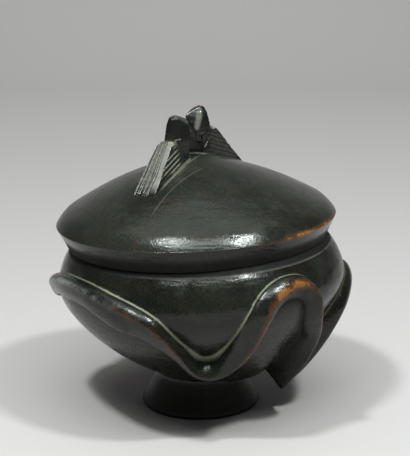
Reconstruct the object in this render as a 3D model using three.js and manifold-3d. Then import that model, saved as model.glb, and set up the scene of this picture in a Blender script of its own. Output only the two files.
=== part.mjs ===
// A round carved wooden food bowl on a flared foot, with a lift-off lid. A thick wavy band is
// carved in relief round the bowl, and the lid's handle is a pair of birds, beak to beak.
// Millimetres, +Z up. The origin is the middle of the foot's flat base, on the table.

import * as THREE from 'three';
import { mergeVertices } from 'three/addons/utils/BufferGeometryUtils.js';
import Module from 'manifold-3d';

const wasm = await Module();
wasm.setup();

// Stance: the foot stands upright, and the bowl above it leans a little, as it was carved.
// Heights of the bowl and lid are measured along the leaning axis, from the table.
const LEAN = 2.6;
const LEAN_PIVOT_HEIGHT = 32;
const BOWL_OFFSET = 4.1;

// Foot
const FOOT_BASE_RADIUS = 43.5;
const FOOT_TOE_HEIGHT = 3.2;
const FOOT_WAIST_RADIUS = 32.5;
const FOOT_HEIGHT = 24;
const FOOT_ROOT_HEIGHT = 8;
const FOOT_FLARE_POWER = 1.2;

// Bowl
const BOWL_RADIUS = 103.9;
const WIDEST_HEIGHT = 95.3;
const BELLY_DEPTH = 80.3;
const RIM_ARRIS_RADIUS = 92.5;
const RIM_ARRIS_HEIGHT = 122.2;
const BOWL_CURVE_POWER = 1.45;
const RIM_HEIGHT = 123.8;
const RIM_TOP_RADIUS = 91.2;
const MOUTH_RADIUS = 82;
const BOWL_WALL_THICKNESS = 10;
const BOWL_FLOOR_HEIGHT = 38;

// The hand-carved belly is fuller low down on the right, beside the deepest dip of the band.
const FULLNESS_DEPTH = 5.5;
const FULLNESS_ANGLE = 46;
const FULLNESS_SPREAD = 22;
const FULLNESS_HEIGHT = 34;
const FULLNESS_REACH = 17;

// Lid
const LID_RADIUS = 100;
const LID_EDGE_HEIGHT = 140;
const LID_EDGE_ROUND_HEIGHT = 4.3;
const LID_EDGE_ROUND_WIDTH = 9.3;
const DOME_RISE = 37;
const DOME_POWER = 1.757;
const CROWN_SWELL_HEIGHT = 3.2;
const CROWN_SWELL_RADIUS = 24;
const LID_SEAT_RADIUS = 92.2;
const LID_THICKNESS = 10;
const FLANGE_DEPTH = 8;
const FLANGE_THICKNESS = 7;
const FLANGE_CLEARANCE = 2.2;
const SEAT_CLEARANCE = 0.3;
const LID_SIDE_PLAY = 1.7;

// Wavy band: how far it stands proud at the bowl's widest and in its deepest dip, and how deep
// its root runs into the bowl's wall.
const BAND_HALF_WIDTH = 7.5;
const BAND_PROUD_HEIGHT = 6.6;
const BAND_DIP_PROUD_HEIGHT = 23.9;
const BAND_PROUD_POWER = 1.29;
const BAND_ROOT_DEPTH = 4;
const BAND_DIP_FOLLOW = 0.8;
const BAND_RIDGE_ROUNDNESS = 1.35;
const BAND_RIDGE_FULLNESS = 0.6;
const BAND_DIP_ROUNDNESS = 2;
const BAND_DIP_FULLNESS = 0.38;
const DEEPEST_DIP = -0.782;

// The band's freehand path round the bowl: the angle in degrees from the front, the height
// from the bowl's widest ring as a share of the belly's depth, the share of the half width, and
// where the ridge lies across the band, from -1 at its outer side to 1 at its inner side.
const BAND_PATH = [
    // left crest, falling into the wide dip at the front
    [-76, 0.081, 1.05, -0.45], [-53, 0.127, 1.13, -0.45], [-33, 0.037, 1.28, -0.4],
    [-19.5, -0.06, 1.07, -0.5], [-9, -0.29, 0.64, -0.5], [-2.5, -0.465, 0.71, -0.45],
    [3.5, -0.47, 0.83, -0.2], [9.5, -0.404, 0.94, 0.05],
    // the narrow crest on the right, and the deep dip beside it
    [15.5, -0.29, 1.05, 0.3], [19.5, -0.121, 1.13, 0.45], [25, 0.067, 1.1, 0.2],
    [33.5, 0.156, 1.11, 0.05], [43, 0.112, 1.07, -0.45], [48, -0.183, 1.05, -0.45],
    [53.5, -0.332, 0.82, 0], [65.5, DEEPEST_DIP, 0.68, 0.1],
    // the crest at the right end, and the waves round the back
    [69, -0.621, 0.81, -0.05], [75.5, -0.274, 0.89, -0.15], [83, -0.154, 0.93, -0.1],
    [95.5, -0.045, 0.97, 0], [118, -0.203, 1, 0], [146, -0.465, 1, 0],
    [172, -0.166, 1, 0], [196, 0.096, 1, 0], [216, -0.116, 1, 0],
    [234, -0.352, 1, 0], [250, -0.178, 1, 0], [266, -0.066, 1.12, -0.2],
];

// Handle: two birds facing each other along one line across the crown. Reaches are measured
// along that line from the beaks' tips. The beaks stand a rise above the crown, and the other
// heights are measured from the beaks.
const HANDLE_ANGLE = 33;
const HANDLE_X = -2.5;
const HANDLE_Y = 1.6;
const BEAK_RISE = 9.5;
const BEAK_THICKNESS = 4;
const BEAK_OVERLAP_WIDTH = 0.6;
const HEAD_WIDTH = 13;
const HEAD_ARCH_HEIGHT = 6;
const CHEST_REACH = 8.8;
const NAPE_REACH = 20;
const CROWN_REACH = 14.5;
const SHOULDER_DROP = 0.5;
const WING_LEFT_WIDTH = 8.5;
const WING_RIGHT_WIDTH = 9.5;
const WING_FLARE_DROP = 16;
const WING_TOP_REACH = 24;
const TAIL_REACH = 58;
const TAIL_THICKNESS = 3;
const BIRDS = {
    front: { side: 1, crownRise: 21.2, wingRise: 4, wingTopWidth: 4.5 },
    rear: { side: -1, crownRise: 23.5, wingRise: 8, wingTopWidth: 7 },
};

// Facets
const TURN_STEPS = 72;
const CURVE_STEPS = 12;
const BAND_STEPS = 136;
const BAND_SECTION_STEPS = 8;

const radians = THREE.MathUtils.degToRad;

function lathe(points) {
    const outline = points.map(([radius, height]) => new THREE.Vector2(radius, height));
    const geometry = new THREE.LatheGeometry(outline, TURN_STEPS);
    geometry.rotateX(Math.PI / 2);
    return geometry;
}

function toSolid(geometry) {
    geometry.deleteAttribute('normal');
    geometry.deleteAttribute('uv');
    const merged = mergeVertices(geometry, 1e-4);
    const solid = new wasm.Manifold(new wasm.Mesh({
        numProp: 3,
        vertProperties: new Float32Array(merged.attributes.position.array),
        triVerts: new Uint32Array(merged.index.array),
    }));
    if (solid.volume() < 0) throw new Error('a solid has its faces pointing inwards');
    return solid;
}

function toGeometry(solid) {
    const { vertProperties, triVerts } = solid.getMesh();
    const geometry = new THREE.BufferGeometry();
    geometry.setAttribute('position', new THREE.BufferAttribute(vertProperties, 3));
    geometry.setIndex(new THREE.BufferAttribute(triVerts, 1));
    const faceted = geometry.toNonIndexed();
    faceted.computeVertexNormals();
    return faceted;
}

// One quarter of a rounded-square curve: 1 at share 0, falling to 0 at share 1.
function quarterCurve(share) {
    return (1 - share ** BOWL_CURVE_POWER) ** (1 / BOWL_CURVE_POWER);
}

function bowlRadius(height) {
    if (height >= WIDEST_HEIGHT) {
        const share = Math.min(1, (height - WIDEST_HEIGHT) / (RIM_ARRIS_HEIGHT - WIDEST_HEIGHT));
        return RIM_ARRIS_RADIUS + (BOWL_RADIUS - RIM_ARRIS_RADIUS) * quarterCurve(share);
    }
    const share = Math.min(1, (WIDEST_HEIGHT - height) / BELLY_DEPTH);
    return BOWL_RADIUS * quarterCurve(share);
}

function innerRadius(height) {
    if (height >= WIDEST_HEIGHT) {
        const share = Math.min(1, (height - WIDEST_HEIGHT) / (RIM_HEIGHT - WIDEST_HEIGHT));
        return MOUTH_RADIUS + (BOWL_RADIUS - BOWL_WALL_THICKNESS - MOUTH_RADIUS) * quarterCurve(share);
    }
    const share = Math.min(1, (WIDEST_HEIGHT - height) / (WIDEST_HEIGHT - BOWL_FLOOR_HEIGHT));
    return (BOWL_RADIUS - BOWL_WALL_THICKNESS) * quarterCurve(share);
}

// Heights from one level to another, closest together at the far end, where the curve turns.
function easedHeights(from, to, steps) {
    return Array.from({ length: steps + 1 }, (_, i) => {
        return from + (to - from) * Math.sin((i / steps) * Math.PI / 2);
    });
}

// Moves a belly point out along the wall's own slope, most at the middle of the full patch.
function filledOut(point) {
    const angle = THREE.MathUtils.radToDeg(Math.atan2(point.x, -point.y));
    const aside = (angle - FULLNESS_ANGLE) / FULLNESS_SPREAD;
    const above = (point.z - FULLNESS_HEIGHT) / FULLNESS_REACH;
    const amount = FULLNESS_DEPTH * Math.exp(-(aside ** 2) - above ** 2);
    return point.clone().addScaledVector(outward(point, 1), amount);
}

function bowlShell() {
    const outside = easedHeights(WIDEST_HEIGHT, WIDEST_HEIGHT - BELLY_DEPTH, CURVE_STEPS).reverse();
    const shoulder = easedHeights(WIDEST_HEIGHT, RIM_ARRIS_HEIGHT, CURVE_STEPS / 2).slice(1);
    const mouth = easedHeights(WIDEST_HEIGHT, RIM_HEIGHT, CURVE_STEPS / 2).slice(1).reverse();
    const inside = easedHeights(WIDEST_HEIGHT, BOWL_FLOOR_HEIGHT, CURVE_STEPS);
    const outline = [
        ...[...outside, ...shoulder].map((height) => [bowlRadius(height), height]),
        [RIM_TOP_RADIUS, RIM_HEIGHT],
        ...[...mouth, ...inside].map((height) => [innerRadius(height), height]),
    ];
    const shell = lathe(outline);
    const position = shell.attributes.position;
    const outsideRows = outside.length + shoulder.length;
    const rows = outline.length;
    for (let i = 0; i < position.count; i += 1) {
        if (i % rows > 0 && i % rows < outsideRows) {
            const point = filledOut(new THREE.Vector3().fromBufferAttribute(position, i));
            position.setXYZ(i, point.x, point.y, point.z);
        }
    }
    return toSolid(shell);
}

function foot() {
    const flare = Array.from({ length: CURVE_STEPS / 2 + 1 }, (_, i) => {
        const share = i / (CURVE_STEPS / 2);
        const spread = (FOOT_BASE_RADIUS - FOOT_WAIST_RADIUS) * (1 - share) ** FOOT_FLARE_POWER;
        return [FOOT_WAIST_RADIUS + spread, FOOT_TOE_HEIGHT + share * (FOOT_HEIGHT - FOOT_TOE_HEIGHT)];
    });
    const top = FOOT_HEIGHT + FOOT_ROOT_HEIGHT;
    return toSolid(lathe([
        [0, 0],
        [FOOT_BASE_RADIUS, 0],
        ...flare,
        [FOOT_WAIST_RADIUS, top],
        [0, top],
    ]));
}

// A point on the bowl's outside, at an angle in degrees from the front and a height.
function onBowl(angle, height) {
    const radius = bowlRadius(height);
    return new THREE.Vector3(radius * Math.sin(radians(angle)), -radius * Math.cos(radians(angle)), height);
}

// The way out of the bowl's wall at a point. Share 1 is square to the wall, 0 is level.
function outward(point, share) {
    const step = 0.5;
    const widening = bowlRadius(point.z + step) - bowlRadius(point.z - step);
    const dip = Math.atan2(-widening, 2 * step) * share;
    const level = new THREE.Vector3(point.x, point.y, 0).normalize().multiplyScalar(Math.cos(dip));
    return level.setZ(Math.sin(dip));
}

function band() {
    const path = BAND_PATH.map(([angle, share]) => onBowl(angle, WIDEST_HEIGHT + share * BELLY_DEPTH));
    const curve = new THREE.CatmullRomCurve3(path, true, 'centripetal');
    const shapes = BAND_PATH.map(([, , width, ridge]) => new THREE.Vector3(width, ridge, 0));
    const shapeCurve = new THREE.CatmullRomCurve3(shapes, true, 'catmullrom');
    const marks = Array.from({ length: BAND_STEPS }, (_, i) => {
        const share = curve.getUtoTmapping(i / BAND_STEPS);
        return { spot: curve.getPoint(share), shape: shapeCurve.getPoint(share) };
    });
    const positions = [];
    for (let i = 0; i < BAND_STEPS; i += 1) {
        const before = marks[(i + BAND_STEPS - 1) % BAND_STEPS];
        const after = marks[(i + 1) % BAND_STEPS];
        const along = after.spot.clone().sub(before.spot).normalize();
        // the freehand path's sharpest bends are softened between neighbours
        const loose = before.spot.clone().lerp(after.spot, 0.5).lerp(marks[i].spot, 0.5);
        const { x: width, y: ridge } = marks[i].shape;
        const halfWidth = width * BAND_HALF_WIDTH;
        const centre = onBowl(THREE.MathUtils.radToDeg(Math.atan2(loose.x, -loose.y)), loose.z);
        const out = outward(centre, BAND_DIP_FOLLOW);
        out.addScaledVector(along, -out.dot(along)).normalize();
        const across = new THREE.Vector3().crossVectors(along, out);
        const dip = Math.max(0, (centre.z - WIDEST_HEIGHT) / BELLY_DEPTH / DEEPEST_DIP);
        const extra = (BAND_DIP_PROUD_HEIGHT - BAND_PROUD_HEIGHT) * dip ** BAND_PROUD_POWER;
        const proud = BAND_PROUD_HEIGHT + extra;
        const roundness = THREE.MathUtils.lerp(BAND_RIDGE_ROUNDNESS, BAND_DIP_ROUNDNESS, dip);
        const fullness = THREE.MathUtils.lerp(BAND_RIDGE_FULLNESS, BAND_DIP_FULLNESS, dip);
        for (let k = 0; k <= BAND_SECTION_STEPS; k += 1) {
            const swing = Math.cos((k / BAND_SECTION_STEPS) * Math.PI);
            const side = halfWidth * (swing + ridge * (1 - Math.abs(swing)));
            const rise = proud * (1 - Math.abs(swing) ** roundness) ** fullness;
            const corner = centre.clone().addScaledVector(across, side).addScaledVector(out, rise);
            positions.push(corner);
        }
        const root = centre.clone().addScaledVector(out, -BAND_ROOT_DEPTH);
        for (const side of [-halfWidth, halfWidth]) {
            positions.push(root.clone().addScaledVector(across, side));
        }
    }
    const ring = BAND_SECTION_STEPS + 3;
    const indices = [];
    for (let i = 0; i < BAND_STEPS; i += 1) {
        for (let k = 0; k < ring; k += 1) {
            const a = i * ring + k;
            const b = i * ring + (k + 1) % ring;
            const c = ((i + 1) % BAND_STEPS) * ring + (k + 1) % ring;
            const d = ((i + 1) % BAND_STEPS) * ring + k;
            indices.push(a, d, c, a, c, b);
        }
    }
    const geometry = new THREE.BufferGeometry().setFromPoints(positions);
    geometry.setIndex(indices);
    return toSolid(geometry);
}

function domeHeight(radius) {
    const rise = DOME_RISE * (1 - (radius / LID_RADIUS) ** DOME_POWER);
    const swell = CROWN_SWELL_HEIGHT * Math.exp(-((radius / CROWN_SWELL_RADIUS) ** 2));
    const round = Math.max(0, (radius - LID_RADIUS) / LID_EDGE_ROUND_WIDTH + 1);
    const edge = LID_EDGE_ROUND_HEIGHT * (1 - round ** 2);
    return LID_EDGE_HEIGHT + edge + rise + swell;
}

function lidShell() {
    const flangeRadius = MOUTH_RADIUS - FLANGE_CLEARANCE;
    const hollowRadius = flangeRadius - FLANGE_THICKNESS;
    const seat = RIM_HEIGHT + SEAT_CLEARANCE;
    const dome = [];
    for (let i = 0; i <= CURVE_STEPS; i += 1) {
        dome.push((i / CURVE_STEPS) * (LID_RADIUS - LID_EDGE_ROUND_WIDTH));
    }
    for (let i = 1; i <= CURVE_STEPS / 2; i += 1) {
        const turn = (i / (CURVE_STEPS / 2)) * Math.PI / 2;
        dome.push(LID_RADIUS - LID_EDGE_ROUND_WIDTH * (1 - Math.sin(turn)));
    }
    const hollow = [];
    for (let i = 0; i <= CURVE_STEPS / 2; i += 1) {
        hollow.push(hollowRadius * Math.sin((i / (CURVE_STEPS / 2)) * Math.PI / 2));
    }
    const outline = [
        ...hollow.map((radius) => [radius, domeHeight(radius) - LID_THICKNESS]),
        [hollowRadius, seat - FLANGE_DEPTH],
        [flangeRadius, seat - FLANGE_DEPTH],
        [flangeRadius, seat],
        [LID_SEAT_RADIUS, seat],
        ...dome.reverse().map((radius) => [radius, domeHeight(radius)]),
    ];
    return toSolid(lathe(outline));
}

// Extrudes an outline of [reach, height] pairs across the handle. A bird on the other side
// of the beaks is the mirror image.
function slab(outline, side) {
    const width = 2 * (WING_LEFT_WIDTH + WING_RIGHT_WIDTH);
    const corners = outline.map(([reach, height]) => new THREE.Vector2(side * reach, height));
    const shape = new THREE.Shape(corners);
    const geometry = new THREE.ExtrudeGeometry(shape, { depth: width, bevelEnabled: false });
    geometry.translate(0, 0, -width / 2);
    geometry.rotateX(Math.PI / 2);
    return toSolid(geometry);
}

// Extrudes an outline of [offset, height] pairs along the handle's whole line.
function bar(outline) {
    const length = 3 * TAIL_REACH;
    const corners = outline.map(([offset, height]) => new THREE.Vector2(offset, height));
    const shape = new THREE.Shape(corners);
    const geometry = new THREE.ExtrudeGeometry(shape, { depth: length, bevelEnabled: false });
    geometry.translate(0, 0, -length / 2);
    geometry.rotateX(Math.PI / 2);
    geometry.rotateZ(Math.PI / 2);
    return toSolid(geometry);
}

// The head and neck, with the beak reaching forward to meet the other bird's. The outline's
// bends are shares of the head's depth and of its rise above the beak.
function head({ side, crownRise }, root, beakHeight) {
    const depth = NAPE_REACH - CHEST_REACH;
    const crown = beakHeight + crownRise;
    const beakTip = -BEAK_OVERLAP_WIDTH / 2;
    const beakTop = beakHeight + BEAK_THICKNESS / 2;
    const beakUnder = beakHeight - BEAK_THICKNESS / 2;
    const profile = slab([
        [CHEST_REACH, root],
        [NAPE_REACH, root],
        [NAPE_REACH, beakHeight + 0.16 * crownRise],
        [NAPE_REACH - 0.21 * depth, crown - 0.35 * crownRise],
        [CROWN_REACH + 0.14 * depth, crown - 0.09 * crownRise],
        [CROWN_REACH, crown],
        [CROWN_REACH - 0.18 * depth, crown - 0.12 * crownRise],
        [CROWN_REACH - 0.31 * depth, crown - 0.45 * crownRise],
        [beakTip, beakTop],
        [beakTip, beakUnder],
        [0.17 * CHEST_REACH, beakUnder],
        [CHEST_REACH + 0.09 * depth, beakHeight + 0.38 * crownRise],
        [CHEST_REACH, beakUnder],
    ], side);
    const arch = Array.from({ length: CURVE_STEPS + 1 }, (_, i) => {
        const turn = (i / CURVE_STEPS) * Math.PI;
        const offset = (HEAD_WIDTH / 2) * Math.cos(turn);
        return [offset, crown - HEAD_ARCH_HEIGHT + HEAD_ARCH_HEIGHT * Math.sin(turn)];
    });
    return profile.intersect(bar([[-HEAD_WIDTH / 2, 0], [HEAD_WIDTH / 2, 0], ...arch]));
}

// The folded wings: one wedge from the shoulders down to the tail on the dome.
function wings({ side, wingRise, wingTopWidth }, root, beakHeight) {
    const shoulder = beakHeight - SHOULDER_DROP;
    const top = beakHeight + wingRise;
    const tailHeight = domeHeight(TAIL_REACH) + TAIL_THICKNESS;
    const neck = NAPE_REACH - CHEST_REACH;
    const slope = (top - tailHeight) / (TAIL_REACH - WING_TOP_REACH);
    const bend = 0.12 * (TAIL_REACH - WING_TOP_REACH);
    const profile = slab([
        [CHEST_REACH + 0.1 * neck, root],
        [CHEST_REACH + 0.1 * neck, shoulder - 0.5 * neck],
        [NAPE_REACH - 0.25 * neck, shoulder],
        [NAPE_REACH, top - TAIL_THICKNESS / 3],
        [WING_TOP_REACH, top],
        [WING_TOP_REACH + bend, top - slope * bend + TAIL_THICKNESS / 6],
        [TAIL_REACH, tailHeight],
        [TAIL_REACH + TAIL_THICKNESS / 2, tailHeight - TAIL_THICKNESS],
        [TAIL_REACH, domeHeight(TAIL_REACH) - LID_THICKNESS / 2],
    ], side);
    const round = WING_LEFT_WIDTH - wingTopWidth / 2;
    const section = bar([
        [-WING_LEFT_WIDTH, 0],
        [WING_RIGHT_WIDTH, 0],
        [WING_RIGHT_WIDTH, beakHeight - 1.6 * WING_FLARE_DROP],
        [0.9 * WING_RIGHT_WIDTH, beakHeight - WING_FLARE_DROP],
        [wingTopWidth, top - TAIL_THICKNESS],
        [wingTopWidth / 2, top],
        [-round, top],
        [-WING_LEFT_WIDTH, top - TAIL_THICKNESS],
    ]);
    return profile.intersect(section);
}

function handle() {
    const root = domeHeight(0) - LID_THICKNESS / 2;
    const beakHeight = domeHeight(0) + BEAK_RISE;
    const pair = [BIRDS.front, BIRDS.rear]
        .flatMap((bird) => [head(bird, root, beakHeight), wings(bird, root, beakHeight)])
        .reduce((joined, solid) => joined.add(solid));
    return pair.rotate([0, 0, 180 + 90 - HANDLE_ANGLE]).translate([HANDLE_X, HANDLE_Y, 0]);
}

// The bowl's upright foot is joined to its leaning body, so the body is leant here.
function leant(solid) {
    return solid
        .translate([BOWL_OFFSET, 0, -LEAN_PIVOT_HEIGHT])
        .rotate([0, -LEAN, 0])
        .translate([0, 0, LEAN_PIVOT_HEIGHT]);
}

const bowlWood = new THREE.MeshStandardMaterial({ color: 0x1d1a16, roughness: 0.38, metalness: 0 });
const lidWood = new THREE.MeshStandardMaterial({ color: 0x231f1a, roughness: 0.42, metalness: 0 });

const hollow = bowlShell();
const bowl = new THREE.Mesh(toGeometry(leant(hollow.add(band())).add(foot())), bowlWood);
bowl.name = 'bowl';

const lid = new THREE.Mesh(toGeometry(lidShell().add(handle())), lidWood);
lid.name = 'lid';
lid.position.set(BOWL_OFFSET - LID_SIDE_PLAY, 0, -LEAN_PIVOT_HEIGHT);

const leaning = new THREE.Group();
leaning.position.z = LEAN_PIVOT_HEIGHT;
leaning.rotation.y = -radians(LEAN);
leaning.add(lid);

const coveredBowl = new THREE.Group();
coveredBowl.add(bowl, leaning);

export default coveredBowl;
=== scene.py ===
"""Looks of a carved wooden covered bowl: dark waxed wood, with a wavy band in relief round the
bowl and a lid whose handle is two birds, face to face. Sizes are in millimetres until a mesh or
the camera is made, which turns them into metres. Those of the floor, the lamps and the finish's
noise and bump are in metres from the start."""

from math import atan2, cos, degrees, exp, hypot, pi, radians, sin

import bmesh
import bpy
import numpy as np
from mathutils import Matrix, Vector, noise
from mathutils.kdtree import KDTree


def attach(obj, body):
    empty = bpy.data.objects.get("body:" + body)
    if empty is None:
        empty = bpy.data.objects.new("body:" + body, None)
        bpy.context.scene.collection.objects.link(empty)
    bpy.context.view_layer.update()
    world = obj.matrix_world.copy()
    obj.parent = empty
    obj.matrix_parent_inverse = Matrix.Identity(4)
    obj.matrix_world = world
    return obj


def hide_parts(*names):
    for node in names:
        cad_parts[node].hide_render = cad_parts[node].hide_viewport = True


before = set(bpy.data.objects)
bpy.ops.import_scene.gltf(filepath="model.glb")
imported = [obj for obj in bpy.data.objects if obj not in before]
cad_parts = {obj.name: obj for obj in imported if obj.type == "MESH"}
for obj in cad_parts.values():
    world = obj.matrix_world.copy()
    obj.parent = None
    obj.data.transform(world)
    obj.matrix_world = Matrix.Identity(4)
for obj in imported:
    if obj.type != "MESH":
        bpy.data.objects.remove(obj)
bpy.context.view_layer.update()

MM = 0.001

# Stance: the bowl and lid above the upright foot lean a little to the left.
LEAN = radians(2.6)
LEAN_PIVOT_HEIGHT = 32
BOWL_OFFSET = 4.1
LID_OFFSET = 2.4

# Foot
FOOT_BASE_RADIUS = 43.5
FOOT_TOE_HEIGHT = 3.2
FOOT_WAIST_RADIUS = 32.5
FOOT_HEIGHT = 24
FOOT_ROOT_HEIGHT = 8
FOOT_FLARE_POWER = 1.2
FOOT_TOE_ROUND = 1.2

# Bowl
BOWL_RADIUS = 103.9
WIDEST_HEIGHT = 95.3
BELLY_DEPTH = 80.3
RIM_ARRIS_RADIUS = 92.5
RIM_ARRIS_HEIGHT = 122.2
BOWL_CURVE_POWER = 1.45
RIM_HEIGHT = 123.8
RIM_TOP_RADIUS = 91.2
MOUTH_RADIUS = 82
BOWL_WALL_THICKNESS = 10
BOWL_FLOOR_HEIGHT = 38
FULLNESS_DEPTH = 5.5
FULLNESS_ANGLE = 46
FULLNESS_SPREAD = 22
FULLNESS_HEIGHT = 34
FULLNESS_REACH = 17

# Lid
LID_RADIUS = 100
LID_EDGE_HEIGHT = 140
LID_EDGE_ROUND_HEIGHT = 4.3
LID_EDGE_ROUND_WIDTH = 9.3
DOME_RISE = 37
DOME_POWER = 1.757
CROWN_SWELL_HEIGHT = 3.2
CROWN_SWELL_RADIUS = 24
LID_SEAT_RADIUS = 92.2
LID_SEAT_HEIGHT = 124.1
LID_THICKNESS = 10
FLANGE_DEPTH = 8
FLANGE_RADIUS = 79.8
FLANGE_THICKNESS = 7
FLANGE_CHAMFER = 0.8

# Wavy band
BAND_HALF_WIDTH = 7.5
BAND_PROUD_HEIGHT = 6.5
BAND_DIP_PROUD_HEIGHT = 23.5
BAND_PROUD_POWER = 1.29
BAND_ROOT_DEPTH = 4
BAND_DIP_FOLLOW = 0.8
BAND_RIDGE_ROUNDNESS = 1.35
BAND_RIDGE_FULLNESS = 0.6
BAND_DIP_ROUNDNESS = 2.0
BAND_DIP_FULLNESS = 0.38
BAND_ROOT_SHARE = 0.2
DEEPEST_DIP = -0.782

# The band's way round the bowl: the angle in degrees from the front, the height above the widest
# place as a share of the belly's depth, the half width as a share of the band's, and where the
# ridge lies, from -1 at the upper side to 1 at the lower.
BAND_PATH = [
    (-76, 0.081, 1.05, -0.45), (-53, 0.127, 1.13, -0.45), (-33, 0.037, 1.28, -0.4),
    (-19.5, -0.06, 1.07, -0.5), (-9, -0.29, 0.64, -0.4), (-2.5, -0.456, 0.71, 0.2),
    (3.5, -0.458, 0.8, 0.65), (9.5, -0.398, 0.92, 0.6), (15.5, -0.29, 1.05, 0.45),
    (19.5, -0.121, 1.13, 0.45), (25, 0.067, 1.1, 0.2), (33.5, 0.156, 1.11, 0.05),
    (43, 0.112, 1.07, -0.45), (48, -0.183, 1.05, -0.45), (53.5, -0.332, 0.82, 0),
    (65.5, DEEPEST_DIP, 0.68, 0.1), (69, -0.621, 0.81, -0.05), (75.5, -0.274, 0.89, -0.15),
    (83, -0.154, 0.93, -0.1), (95.5, -0.045, 0.97, 0), (118, -0.203, 1, 0),
    (146, -0.465, 1, 0), (172, -0.166, 1, 0), (196, 0.096, 1, 0),
    (216, -0.116, 1, 0), (234, -0.352, 1, 0), (250, -0.178, 1, 0),
    (266, -0.066, 1.12, -0.2),
]

# Round the front dip the band's lower side sags and its upper side is cut back: the angle in
# degrees from the front, and how far.
BAND_SAG = [
    (-180, 0), (-48, 0), (-36, 1), (-26, 3.5), (-14, 7), (-6, 5), (2, 2.5), (8, 2.5), (14, 3),
    (22, 1.5), (30, 0), (180, 0),
]
BAND_TRIM = [
    (-180, 0), (-18, 0), (-12, 1.5), (-6.5, 2.2), (-2, 2.6), (2, 3.2), (6, 3.7), (9, 2.8), (12, 1.4),
    (16, 0), (180, 0),
]

# Bare wood along the band's ridge: the angle in degrees from the front, how worn it is, and how
# wide the worn strip is.
BAND_WEAR = [
    (-180, 0, 3.6), (-60, 0, 3.6), (-45, 0.2, 3.6), (-34, 0.45, 3.6), (-22, 0.62, 3.6),
    (-12, 0.68, 3.6), (0, 0.5, 3.6), (8, 0.4, 3.6), (16, 0.62, 3.6), (24, 0.85, 3.8),
    (32, 1.35, 5.0), (40, 1.15, 5.0), (48, 0.45, 3.6), (60, 0.35, 3.0), (66, 0.6, 2.5),
    (70, 0, 3.6), (180, 0, 3.6),
]

# Dust in the corner above the band, in the same way
BAND_DUST = [
    (-180, 0.3, 1), (-90, 0.3, 0.8), (-60, 0.7, 0.65), (-45, 0.9, 0.65), (-38, 1.1, 0.9),
    (-30, 1.0, 0.75), (-15, 0.9, 0.65), (-8, 1.0, 0.9), (-4, 1.3, 2.2), (6, 1.3, 2.2),
    (10, 0.9, 0.9), (20, 0.85, 0.65), (30, 0.75, 0.65), (45, 0.5, 0.65), (60, 0.2, 0.8),
    (90, 0.35, 1), (110, 0.4, 1), (180, 0.3, 1),
]

# A painted highlight along the band's ridge on the left: the angle, and how much there is.
BAND_PAINTED_HIGHLIGHT = [(-180, 0), (-74, 0), (-67, 1), (-50, 1), (-38, 0.5), (-28, 0), (180, 0)]
PAINTED_HIGHLIGHT_SPREAD = 2.0

# Painted shade in the hollow under the second crest: the angle, and how much there is.
HOLLOW_SHADE = [(-180, 0), (22, 0), (30, 0.7), (60, 0.8), (68, 0), (180, 0)]

# The fine pale line round the bowl's shoulder: the angle, and how much of it shows.
SHOULDER_LINE_HEIGHT = 120
SHOULDER_LINE = [(-180, 0), (8, 0), (20, 0.7), (60, 1), (95, 0.8), (115, 0), (180, 0)]

# Bare wood along the lid's edge: the angle, and how worn it is.
RIM_WEAR = [
    (-180, 0), (-60, 0), (-40, 0.15), (0, 0.2), (26, 0.4), (36, 0.8), (50, 1.1), (70, 1.0),
    (80, 0.5), (90, 0.2), (180, 0),
]

# A faint scratch down the lid's front, seen from above: its two ends, and how far it bows.
SCRATCH_START = (4.3, -22.5)
SCRATCH_END = (-33.5, -75.7)
SCRATCH_BOW = 3.5

# Handle
HANDLE_ANGLE = radians(33)
HANDLE_X = -2.5
HANDLE_Y = 1.6
BEAK_RISE = 9.5
HEAD_WIDTH = 13
CHEST_REACH = 8.8
NAPE_REACH = 20
NECK_RISE = 4
SHOULDER_DROP = 0.5
WING_LEFT_WIDTH = 8.5
WING_RIGHT_WIDTH = 9.5
WING_FLARE_DROP = 16
WING_TOP_REACH = 24
TAIL_REACH = 58
TAIL_THICKNESS = 3
TAIL_RISE = 0.9
BIRDS = {
    "front": {"side": 1, "wing_rise": 4, "wing_top_width": 4.5},
    "rear": {"side": -1, "wing_rise": 8, "wing_top_width": 7},
}

# Corners of the two heads: reach along the handle's line, offset to the right, and height above
# the beaks' level. The two faces are 10 mm apart.
HEADS = {
    "front": [
        (14.5, 0, 21.2), (17.1, -3.9, 19.4), (18.2, -5.6, 14.5), (19.5, -7.4, 3), (11.8, 2.3, 19.8),
        (6.4, 3.6, 17.4), (5.3, 5.2, 14.4), (4.6, 6.3, 6), (4.4, 6.8, -1), (12.4, 5.0, 14.5),
        (15.6, 2.9, 18.0), (17.9, 5.8, 2), (20.6, 0.8, 5), (20.6, -4.0, 3), (9, -5.5, 15),
        (6, -4.5, 12), (5, -4.5, 0), (18.5, -1.0, 18), (12.6, -2.4, 20.4),
    ],
    "rear": [
        (-15.6, -0.1, 23.3), (-14.4, 1.6, 22.2), (-12.6, -3.0, 21.9), (-8.6, -5.4, 18.6),
        (-6.0, -6.0, 17.0), (-5.6, -5.2, 11.6), (-17.9, 3.4, 22.1), (-17.9, 5.5, 18.3),
        (-18.9, 6.8, 11), (-18.9, 6.8, -3), (-10.8, 5.3, 13), (-7.6, 0.6, 12.4), (-6.2, 4.0, 6.0),
        (-6.4, 3.8, -2.2), (-20, -6, 10), (-20, -6.5, -3), (-18.5, -2, 20.5), (-12, -4.5, 0),
    ],
}

# Pale ridges on the heads, partly rubbed and partly painted sheen: two ends each, how far the
# paleness spreads, and how pale it is.
HEAD_RIDGE_SHEEN_AND_RUBBING = [
    ((-13.2, 2.2, 19.5), (-7.2, 3.3, 8.5), 2.3, 0.5),
    ((-6.6, 3.6, 4), (-6.6, 3.8, -2), 1.3, 0.15),
    ((14.0, 1.5, 20.5), (7.2, 4.6, 15.5), 2.4, 0.3),
]

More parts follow.
